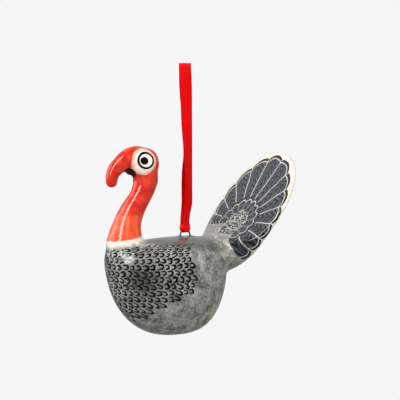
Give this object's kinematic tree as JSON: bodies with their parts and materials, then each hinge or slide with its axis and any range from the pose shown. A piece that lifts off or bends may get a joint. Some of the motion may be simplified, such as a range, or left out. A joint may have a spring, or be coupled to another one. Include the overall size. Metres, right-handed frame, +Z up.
{
  "type": "hanging turkey decoration",
  "caption": "Hollow glazed clay turkey with an upright neck, drooping snood and raised tail fan, hung by a wire staple in its back from a loop of narrow satin ribbon.",
  "frame": {"origin": "hanging point: where the top of the ribbon loop lies over what holds it up", "axes": "+Z up along the hanging ribbon, +X toward the tail with the head at -X, Y across the bird"},
  "size_m": [0.1021, 0.0598, 0.1347],
  "materials": {
    "grey_glaze": "mottled grey paint under clear glaze",
    "red_glaze": "brushed red paint under clear glaze",
    "feather_glaze": "painted feathers under clear glaze",
    "dark_wire": "fired, dark oxide",
    "satin": "red satin weave"
  },
  "bodies": {
    "ribbon": {"ribbon_front_strand": "satin", "ribbon_back_strand": "satin", "ribbon_end_lap": "satin", "ribbon_top_fold": "satin"},
    "gather": {"ribbon_gather": "satin"},
    "hitch": {"ribbon_hitch": "satin"},
    "bird": {"body_shell": "grey_glaze", "neck_and_head": "red_glaze", "tail_fan": "feather_glaze", "hanging_wire": "dark_wire"}
  },
  "joints": [
    {"name": "ribbon_twist", "type": "hinge", "parent": "ribbon", "child": "gather", "pos_m": [0, 0, -0.06785], "axis": [0, 0, 1], "range_deg": [-90, 90], "stiffness_Nm_per_rad": 0.0002},
    {"name": "bird_nod", "type": "hinge", "parent": "gather", "child": "hitch", "pos_m": [0, 0, -0.0801], "axis": [0, 1, 0], "range_deg": [-35, 15]},
    {"name": "bird_roll", "type": "hinge", "parent": "hitch", "child": "bird", "pos_m": [0, 0, -0.082], "axis": [1, 0, 0], "range_deg": [-40, 40]}
  ]
}
